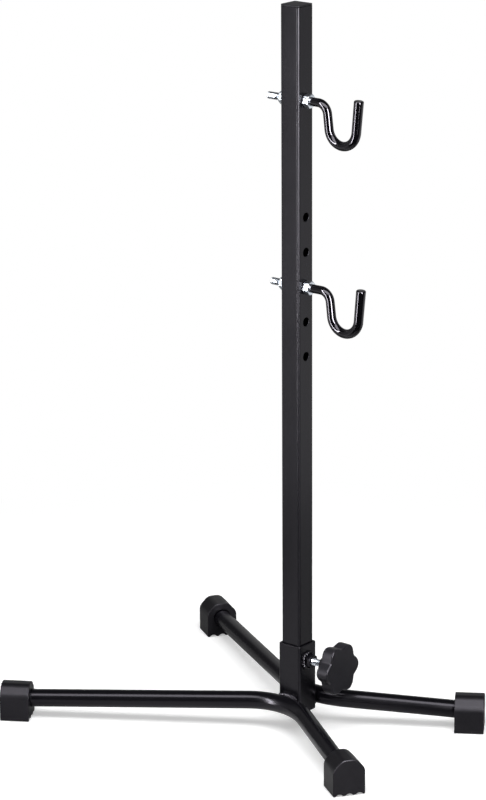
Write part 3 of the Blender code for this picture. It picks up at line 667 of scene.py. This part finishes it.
def footSheet(front, s=footSettings):
    # The outline is carried along the arm: the inset grows over each rounded edge, then the outline is drawn
    # in to the bore's circle at the mouth and to a point at the closed end. The sole keeps its width, and is
    # lifted to the arches.
    y, z, onSole, arch = footOutline(s)
    length, lip, mouth, edge, rounded = s["length"], s["lip"], s["mouth"], s["edge"], rounding(s["edgeSteps"])
    depth, flare = length - s["endWall"], lip / s["bore"]
    # Each row: place along the arm, inset, share drawn in, goal's size in bores, exposed to rubbing
    rows = [(depth, 0, 1, 0, 0), (depth, 0, 1, 1, 0), (depth * 0.5, 0, 1, 1, 0), (lip, 0, 1, 1, 0)]
    rows += [(lip * left, 0, 1, 1 + flare * gone, 0.3) for left, gone, rub in rounded[1:]]
    rows += [(0, mouth, 0.5, 1 + flare, 0)]
    rows += [(mouth * left, mouth * gone, 0, 1, rub) for left, gone, rub in rounded[::-1]]
    rows += [(length * 0.3, 0, 0, 1, 0), (length * 0.6, 0, 0, 1, 0)]
    rows += [(length - edge * left, edge * gone, 0, 1, rub) for left, gone, rub in rounded]
    rows += [(length, edge, k, 0, 0) for k in (0.35, 0.7, 1)]
    x, inset, share, goal, rubbed = np.array(rows).T[:, :, None]
    middle, boreZ = s["height"] / 2, baseSettings["footZ"]
    insetY = np.where(onSole, y, y * (1 - inset * 2 / s["width"]))
    insetZ = middle + (z - middle) * (1 - inset / middle)
    insetZ = np.where(onSole, np.maximum(insetZ, arch), insetZ)
    spin = np.arctan2(z - boreZ, y)
    goalY = goal * s["bore"] * np.cos(spin)
    goalZ = np.where(goal > 0, boreZ - armFacts(front, True)[3] * x, middle) + goal * s["bore"] * np.sin(spin)
    placeY, placeZ = insetY + (goalY - insetY) * share, insetZ + (goalZ - insetZ) * share
    return stacked(x, placeY, placeZ), np.broadcast_to(rubbed, placeY.shape)


for end, front in (("rear", False), ("front", True)):
    points, edge = footSheet(front)
    for side, left in sides:
        crossing, ahead, length, drop = armFacts(front, left)
        place = crossing * [1, 1, 0] + ahead * length
        beside, up = np.array([-ahead[1], ahead[0], 0]), np.array([0, 0, 1])
        placed = place + points[..., 0:1] * ahead + points[..., 1:2] * beside + points[..., 2:3] * up
        name, node = end + side.capitalize() + "Foot", f"{end}_{side}_foot"
        makePiece(name, [grid(placed, edge)], "foot_rubber", "base", [node], sharp=40, flats=True)
print("base tubes and feet made")


# slope and crest shape the thread's wave: how steep its flanks are, and how much of it is cut flat
threadSettings = dict(
    pitch=1.25, major=4.0, depth=0.62, chamfer=0.8, point=2.2, slope=1.25, crest=0.125,
    columns=40, rowsPerPitch=6,
)


def threadedRows(start, stop, after, s=threadSettings):
    # Rows run along the helix, so that its crest is crisp: x = start + (row / rows a pitch + turn - 1) pitch,
    # held between the ends, with turn from 0 to 1. Radius = major less the depth times a flattened triangle
    # wave of the place in one pitch, less again on the chamfer. The start is closed to a point, and after
    # holds the rows of (x, radius) that close the stop.
    pitch, perPitch = s["pitch"], s["rowsPerPitch"]
    count = int((stop - start) / pitch + 3) * perPitch
    turn = np.linspace(0, 1, s["columns"] + 1)[None, :]
    x = np.clip(start + (np.arange(count)[:, None] / perPitch + turn - 1) * pitch, start, stop)
    phase = ((x - start) / pitch - turn) % 1.0
    cut = np.clip(np.abs(2 * phase - 1) * s["slope"] - s["crest"], 0, 1)
    radius = np.minimum(s["major"] - s["depth"] * cut, s["major"] - s["chamfer"] + (x - start))
    before = [(start, 0), (start, s["point"])]
    ends = [np.array(rows, float)[:, :, None] + 0 * turn for rows in (before, after)]
    x = np.concatenate([ends[0][:, 0], x, ends[1][:, 0]])
    radius = np.concatenate([ends[0][:, 1], radius, ends[1][:, 1]])
    return turned(x, radius, turn * tau)


nutSettings = dict(
    flats=14.0, height=7.5, bore=4.3, mouth=4.75, mouthDepth=0.6, cornerCut=0.12, faceInset=0.1, cone=30,
    coneStart=0.03, edge=0.22, sideStart=0.8, columns=96,
)


def nutSheet(start, turn, s=nutSettings):
    # The side's radius is half the width over flats divided by the cosine of the angle from a flat's middle.
    # Past a circle the faces fall away as a cone, which leaves the arched edges of a real nut.
    half, edge, turn = s["flats"] / 2, s["edge"], math.radians(turn)
    angle = around(s["columns"]) + turn
    fromFlat = (angle - turn + tau / 12) % (tau / 6) - tau / 12
    side = np.minimum(half / np.cos(fromFlat), half / math.cos(tau / 12) - s["cornerCut"])
    circle = half - s["faceInset"]
    fall = np.maximum(side - circle, 0) * math.tan(math.radians(s["cone"])) + s["coneStart"]
    rows = [(s["height"] * 0.5, s["bore"], 0), (s["mouthDepth"], s["bore"], 0), (0, s["mouth"], 1)]
    rows += [(0, circle * 0.85, 0), (0, circle, 0), (fall * 0.55, circle + (side - circle) * 0.55, 0.3)]
    rows += [(fall - s["coneStart"] + edge * gone, side - edge * left, 1) for left, gone, rub in rounding(3)]
    rows.append((fall + s["sideStart"], side, 0))
    x, radius, rubbed = unpacked(rows, s["columns"])
    x = np.concatenate([x, s["height"] - x[::-1]])
    radius, rubbed = (np.concatenate([part, part[::-1]]) for part in (radius, rubbed))
    return turned(x + start, radius, angle), rubbed


def makeNut(name, start, turn, height, slotName, body, node):
    points, edge = nutSheet(start, turn)
    sheets = [grid(points + np.array([0, 0, height]), edge, rowsMeet=True)]
    makePiece(name, sheets, slotName, body, [node], sharp=35, flats=True)


def walkPath(moves, step):
    # Straights and bends in the XZ plane, end to end; a bend is its centre less the radius, turned as it goes
    here, heading, runs = np.zeros(2), 0.0, []
    for length, bend in moves:
        turn = math.radians(bend)
        count = max(2, int(length * abs(turn or 1) / step) + 1)
        share = np.linspace(0, 1, count + 1)[1:]
        if bend:
            side = math.copysign(1, turn)
            centre = here + length * side * np.array([-math.sin(heading), math.cos(heading)])
            angles = heading + turn * share
            run = centre - length * side * np.stack([-np.sin(angles), np.cos(angles)], -1)
        else:
            run = here + share[:, None] * length * np.array([math.cos(heading), math.sin(heading)])
        runs.append(run)
        here, heading = run[-1], heading + turn
    flat = np.concatenate([np.zeros((1, 2))] + runs)
    return stacked(flat[:, 0], 0.0, flat[:, 1])


# Bends are in degrees; tail, nutFar, coatStart and the nuts are places along the stud. overlap is how far the
# stud runs on inside the coating, skip the least first step of the bar's path, tipRoom the room at its end.
hookSettings = dict(
    tail=-38.8, nutFar=20.3, coatStart=20.6, frontNut=12.8, backNut=-20.3, neck=29.5,
    neckRadius=12.5, neckBend=-83, innerLeg=16.0, throatRadius=18.4, throatBend=167.5, outerLeg=33.0,
    rod=3.6, gap=0.3, bore=0.1, coatAtNut=0.8, coatAtTip=1.5, lip=0.6, tip=2.2, tipRound=1.7,
    overlap=0.2, skip=0.4, tipRoom=0.2, step=1.4, rodColumns=24, columns=48,
)


def makeHook(name, height, out, turn, s=hookSettings):
    # out is how far the hook stands out of its hole past its usual place, turn how its nuts are turned
    up, body, rod = np.array([0, 0, height]), name + "_hook", s["rod"]
    line = walkPath([
        (s["neck"] + out, 0), (s["neckRadius"], s["neckBend"]), (s["innerLeg"], 0),
        (s["throatRadius"], s["throatBend"]), (s["outerLeg"], 0),
    ], s["step"])
    keep = np.argmax(line[:, 0] > s["coatStart"] + s["skip"])
    line = np.concatenate([[[s["coatStart"], 0, 0]], line[keep:]])
    along = np.concatenate([[0], np.cumsum(np.linalg.norm(np.diff(line, axis=0), axis=1))])
    onward = (line[-1] - line[-2]) / np.linalg.norm(line[-1] - line[-2])
    across = np.array([0, 1.0, 0])
    # The threaded stud up to the nut's end, then the plain bar along the bend
    far, over = s["nutFar"], s["overlap"]
    stud = threadedRows(s["tail"] + out, far, [(far + over / 2, rod), (far + over, rod), (far + over, 0)])
    bar = carried(line, across, rod, s["rodColumns"])
    bar = np.concatenate([pole(line[0], s["rodColumns"]), bar, pole(line[-1], s["rodColumns"])])
    sheets = [grid(stud + up, columnsMeet=False), grid(bar + up)]
    makePiece(name + "HookRod", sheets, "zinc_plate", body, [name + "_hook_rod"], sharp=75)
    # The coating: bore from the tip back to the nut, lip, then the outside, thicker towards the rounded tip
    columns, lip, bend = s["columns"], s["lip"], s["tipRound"]
    radius = rod + s["gap"] + s["coatAtNut"] + (s["coatAtTip"] - s["coatAtNut"]) * along / along[-1]
    bore = carried(line, across, rod + s["bore"], columns)[::-1]
    skin = carried(line[1:], across, radius[1:], columns)
    lipTurn = quarter(4)[:-1]
    # The tiny steps keep the lip's path from standing still, because its direction is taken from them
    lipX = lip * (1 - np.cos(lipTurn)) + np.arange(len(lipTurn)) * 1e-5
    lipPath = line[0] + lipX[:, None] * np.array([1, 0, 0])
    lipSkin = carried(lipPath, across, radius[0] - lip * (1 - np.sin(lipTurn)), columns)
    tipTurn = quarter(8)[1:]
    tipPath = line[-1] + onward * (s["tip"] - bend + bend * np.sin(tipTurn))[:, None]
    tipSkin = carried(tipPath, across, radius[-1] - bend * (1 - np.cos(tipTurn)), columns)
    inside, outside = (pole(point, columns) for point in (line[-1] + onward * s["tipRoom"], tipPath[-1]))
    coating = [grid(np.concatenate([inside, bore, lipSkin, skin, tipSkin, outside]) + up)]
    makePiece(name + "HookCoating", coating, "dipped_vinyl", body, [name + "_hook_coating"], sharp=60)
    for piece, start, body, node in (
        ("HookNut", "frontNut", "_front_nut", "_hook_nut"), ("BackNut", "backNut", "_back_nut", "_back_nut"),
    ):
        makeNut(name + piece, s[start], turn, height, "zinc_plate", name + body, name + node)


makeHook("upper", postHoles[0], out=0.0, turn=-19.0)
makeHook("lower", postHoles[3], out=3.9, turn=-17.0)
print("hooks made")


clampNutStart = 15.3
upClamp = np.array([0, 0, clampHeight])
makeNut("clampNut", clampNutStart, 0.0, clampHeight, "powder_coat", "base", "knob_nut")

# The screw's head sits in a pocket of the knob, from headNear to headFar
knobSettings = dict(
    back=49.5, front=64.5, hubBack=36.0, hubEnd=8.5, hub=11.5, hubEdge=1.0, fillet=0.8, filletMiddle=0.23,
    outer=29.25, lobes=6, lobeDepth=5.2, lobePower=0.8, edge=2.0, bore=4.3, chamfer=0.4, pocket=8.383,
    headNear=56.4, headFar=61.7, nearRoom=0.6, farRoom=0.3, columns=180,
)


def knobSheet(s=knobSettings):
    # Radius = outer radius - inset - depth (1 - (half + half cos 6 angle) to a power). The inset follows a
    # quarter circle over each edge, and the faces are drawn in to the hub behind and to a point in front.
    angle = around(s["columns"])
    wave = (0.5 + 0.5 * np.cos(s["lobes"] * angle)) ** s["lobePower"]
    outline = s["outer"] - s["lobeDepth"] * (1 - wave)
    back, front, edge, bore, rounded = s["back"], s["front"], s["edge"], s["bore"], rounding(6)
    far, near, hub = s["headFar"] + s["farRoom"], s["headNear"] - s["nearRoom"], s["hub"]
    hubBack, hubEdge, fillet, middle = s["hubBack"], s["hubEdge"], s["fillet"], s["filletMiddle"]
    # The pocket, the bore and the hub, then the knob's back, edges and front
    rows = [(far, 0, 0), (far, s["pocket"], 0), (near, s["pocket"], 0), (near, bore, 0)]
    rows += [(hubBack + s["chamfer"], bore, 0), (hubBack, bore + s["chamfer"], 1)]
    rows += [(hubBack + hubEdge * gone, s["hubEnd"] - hubEdge * left, 1) for left, gone, rub in rounding(4)]
    rows += [(back - fillet, hub, 0), (back - middle, hub + middle, 0), (back, hub + fillet, 0)]
    rows += [(back, hub + fillet + (outline - edge - hub - fillet) * 0.5, 0)]
    rows += [(back + edge * gone, outline - edge * left, rub) for left, gone, rub in rounded]
    rows += [(front - edge * left, outline - edge * gone, rub) for left, gone, rub in rounded]
    rows += [(front, (outline - edge) * share, 0) for share in (0.85, 0.6, 0.3, 0)]
    x, radius, rubbed = unpacked(rows, s["columns"])
    return turned(x, radius, angle), rubbed


knobPoints, knobEdge = knobSheet()
makePiece(
    "starKnob", [grid(knobPoints + upClamp, knobEdge)],
    "black_plastic", "star_knob", ["star_knob"], sharp=40, flats=True,
)

screwSettings = dict(tip=12.8, shank=3.9, head=7.0)  # shank and head are radii


def screwSheet(s=screwSettings):
    # The threaded screw, then a short plain shank and the round head
    near, far, head = knobSettings["headNear"], knobSettings["headFar"], s["head"]
    screw = threadedRows(s["tip"], near, [(near, s["shank"]), (near, head), (far, head), (far, 0)])
    return grid(screw + upClamp, columnsMeet=False)


makePiece("clampScrew", [screwSheet()], "zinc_plate", "clamp_screw", ["clamp_screw"], sharp=75)
print("clamp made")


weldSettings = dict(
    radius=2.5, sink=0.9, ripple=0.55, ripples=7, wander=0.5, length=25.0, taper=0.5, lump=0.12,
    nutRadius=1.7, nutRipples=13, nutRipple=0.7, nutLump=0.13, nutWave=0.09, columns=24, rowsPerRipple=16,
)


def ripples(share, count, s=weldSettings):
    # Overlapping coins of unequal spacing and size: |sin| of a place that runs ahead and falls back
    wander = np.sin(tau * 2 * share + 0.7) + 0.6 * np.sin(tau * 5 * share + 2.1)
    place = count * share + s["wander"] * wander
    size = 1 + 0.5 * np.sin(tau * 3 * share + 4.0)
    return s["ripple"] * size * (2 * np.abs(np.sin(math.pi * place)) ** 0.6 - 1)


def lumpy(path, across, radius, s=weldSettings):
    # The bead's circle, with low lumps that turn round it as they go along: sines of its angle and the place
    share, spin = np.linspace(0, 1, len(path))[:, None], around(s["columns"])
    big = np.sin(3 * spin + tau * 4 * share) * np.sin(tau * 9 * share + 1.0)
    lumps = big + 0.6 * np.sin(2 * spin - tau * 7 * share)
    return carried(path, across, radius[:, None] * (1 + s["lump"] * lumps), s["columns"])


def tubeWeld(left, above, s=weldSettings):
    # A bead carried along the crease between the tube and the socket, sunk a little into both
    tube, _ = basePath(left)
    share = np.linspace(0, 1, s["rowsPerRipple"] * s["ripples"] + 1)
    x = (share - 0.5) * s["length"]
    reach = baseSettings["diameter"] / 2 + s["radius"] - s["sink"]
    beadY = socketSettings["half"] + s["radius"] - s["sink"]
    tubeY, tubeZ = (np.interp(x, tube[:, 0], tube[:, k]) for k in (1, 2))
    rise = np.sqrt(reach ** 2 - (np.abs(tubeY) - beadY) ** 2) * (1 if above else -1)
    path = stacked(x, np.sign(tubeY) * beadY, tubeZ + rise)
    swell = s["taper"] + (1 - s["taper"]) * np.sin(math.pi * share) ** 0.5
    bead = lumpy(path, [0, 0, 1.0], (s["radius"] + ripples(share, s["ripples"])) * swell)
    return [grid(np.concatenate([pole(path[0], s["columns"]), bead, pole(path[-1], s["columns"])]))]


for side, left in sides:
    for place, above in (("top", True), ("bottom", False)):
        name, node = side + "Weld" + place.capitalize(), f"{side}_weld_{place}"
        makePiece(name, tubeWeld(left, above), "coated_weld", "base", [node], sharp=60)


def nutBead(s=weldSettings):
    # The same bead, as a ring round the nut: its centre circle + radius (cos outwards, sin along the X axis)
    rows = s["nutRipples"] * s["rowsPerRipple"]
    share = np.arange(rows) / rows
    turn, spin = (share * tau)[:, None], around(s["columns"])
    radius = (s["nutRadius"] + ripples(share, s["nutRipples"]) * s["nutRipple"])[:, None]
    lumps = 1 + s["nutLump"] * np.sin(3 * spin + 4 * turn) * np.sin(9 * turn + 1.0)
    radius = radius * (lumps + s["nutWave"] * np.sin(2 * spin - 7 * turn))
    corner = nutSettings["flats"] / 2 / math.cos(tau / 12)
    outward = corner + s["nutRadius"] - s["sink"] + radius * np.cos(spin)
    beadX = socketSettings["half"] + s["nutRadius"] - s["sink"] + radius * np.sin(spin)
    return turned(beadX, outward, turn)


nutRing = [grid(nutBead() + upClamp, rowsMeet=True)]
makePiece("nutWeld", nutRing, "coated_weld", "base", ["nut_weld"], sharp=60)
print("welds made")


# toCamera and darkWall are ways out from the stand. Each darkPaper is such a way, how far out the paper
# begins to darken and is darkest, in metres, and by how much.
studio = dict(
    ambient=0.32, behindCamera=0.03, upperWall=0.42, ceiling=0.05, toCamera=(0.639, -0.769, 0.0),
    cameraSpan=(0.12, 0.42), upperSpan=(-0.24, -0.10), ceilingSpan=(0.40, 0.75),
    darkWall=(-0.946, 0.294, 0.139), darkSpan=(0.92, 0.985), darkShare=0.85,
    floorFront=0.42, floorSide=1.0, floorBack=1.6, floorColumns=96, floorLevel=-0.0004,
    paper=(0.80, 0.80, 0.80), lift=0.38, fade=(0.42, 0.85), raySpan=(0.2, 0.8),
    darkPaper=[
        ((-0.906, 0.423, 0.0), 0.02, 0.16, 0.65),
        ((0.77, -0.64, 0.0), 0.10, 0.16, 0.45),
        ((0.64, 0.77, 0.0), 0.05, 0.20, 0.40),
    ],
)


def floorPaper(name, s):
    # Pale and matt, with the object's shadow on it. Away from the object it turns to plain white where it is
    # looked at, straight or in a reflection, so that its edge can't be seen. Near the object the camera sees
    # it a little lifted. In reflections it is darker behind to the left, in front and to the right.
    f = Finish(name)
    camera = f.ray("Camera")
    mirror = f.ray("Glossy") + f.ray("Transmission")
    away = f.node("ShaderNodeVectorMath", {"operation": "LENGTH"}, {0: f.place}, out="Value")
    away = away.within(*s["fade"])

    def glow(strength):
        return f.node("ShaderNodeEmission", None, {"Color": [1, 1, 1, 1], "Strength": strength})

    def mixed(share, first, second):
        return f.node("ShaderNodeMixShader", None, {0: share, 1: first, 2: second})

    matt = f.node("ShaderNodeBsdfDiffuse", None, {"Color": [*s["paper"], 1]})
    lifted = f.node("ShaderNodeAddShader", None, {0: matt, 1: glow(s["lift"])})
    dark = 0.0
    for way, start, end, share in s["darkPaper"]:
        dark = f.along(f.place, way).within(start, end) * share + dark
    mirrored = mixed(dark, mixed(away, matt, glow(1.0)), glow(0.0))
    unlooked = mixed(mirror.within(*s["raySpan"]), matt, mirrored)
    f.end(mixed(camera, unlooked, mixed(away, lifted, glow(1.0))))
    return f.material


def makeFloor(s):
    # An ellipse, longer behind the object than in front: middle + half lengths (cos, sin)
    turn = around(s["floorColumns"])
    front = np.array(s["toCamera"][:2])
    beside = np.array([-front[1], front[0]])
    middle = (s["floorFront"] - s["floorBack"]) / 2
    reach = (s["floorFront"] + s["floorBack"]) / 2
    flat = front * (middle + reach * np.cos(turn))[:, None]
    flat = flat + beside * (s["floorSide"] * np.sin(turn))[:, None]
    mesh = bpy.data.meshes.new("floor")
    points = stacked(flat[:, 0], flat[:, 1], s["floorLevel"])
    mesh.from_pydata(points.tolist(), [], [list(range(len(points)))])
    mesh.materials.append(floorPaper("floorPaper", s))
    floor = addObject("floor", mesh)


# turn is to the right of the camera and rise above the horizon, in degrees; the rest in metres and watts
lamps = dict(
    topBox=dict(turn=0, rise=62, away=2.2, aim=(0, 0, 0.1), wide=2.4, high=1.0, power=56),
    leftStrip=dict(turn=-60, rise=0, away=1.6, aim=(0, 0, 0.85), wide=0.16, high=1.8, power=53, matt=False),
    rightStrip=dict(turn=25, rise=0, away=1.6, aim=(0, 0, 1.0), wide=0.40, high=1.5, power=135, matt=False),
)


def areaLight(name, turn, rise, away, aim, wide, high, power, matt=True):
    # Where matt is off, the lamp shows in reflections alone
    front = math.atan2(studio["toCamera"][1], studio["toCamera"][0])
    angle, level, aim = front + math.radians(turn), math.radians(rise), Vector(aim)
    way = Vector((math.cos(angle) * math.cos(level), math.sin(angle) * math.cos(level), math.sin(level)))
    place = aim + away * way
    lamp = bpy.data.lights.new(name, "AREA")
    lamp.shape = "RECTANGLE"
    lamp.size, lamp.size_y, lamp.energy = wide, high, power
    light = addObject(name, lamp)
    light.location = place
    light.rotation_euler = (aim - place).to_track_quat("-Z", "Y").to_euler()
    light.visible_diffuse = matt
    light.visible_camera = False


def makeWorld(s):
    # White to the camera everywhere. In reflections it is white low down, greyer higher up, and dark on the
    # camera's side, overhead and on a patch of the wall behind to the left. To diffuse light it is one plain
    # level.
    world = bpy.data.worlds.new("studio")
    world.use_nodes = True
    bpy.context.scene.world = world
    net = Net(world.node_tree)
    way = net.node("ShaderNodeTexCoord", out="Generated")
    forward, upward, leftward = (net.along(way, aim) for aim in (s["toCamera"], (0, 0, 1), s["darkWall"]))
    side = s["behindCamera"] + (1 - s["behindCamera"]) * (1 - forward.within(*s["cameraSpan"]))
    side = side * (1 - (1 - s["upperWall"]) * upward.within(*s["upperSpan"]))
    wall = side * (1 - s["darkShare"] * leftward.within(*s["darkSpan"]))
    shown = s["ceiling"] + (wall - s["ceiling"]) * (1 - upward.within(*s["ceilingSpan"]))
    camera, mirror, through = net.ray("Camera"), net.ray("Glossy"), net.ray("Transmission")
    plain = 1 - (camera + mirror + through).within(*s["raySpan"])
    strength = camera + through * shown + mirror * shown + plain * s["ambient"]
    sky = net.node("ShaderNodeBackground", None, {"Color": (1, 1, 1, 1), "Strength": strength})
    net.end(sky, "ShaderNodeOutputWorld")


makeFloor(studio)
for name, lamp in lamps.items():
    areaLight(name, **lamp)
makeWorld(studio)
bpy.context.scene.view_settings.view_transform = "Standard"
print("studio set")
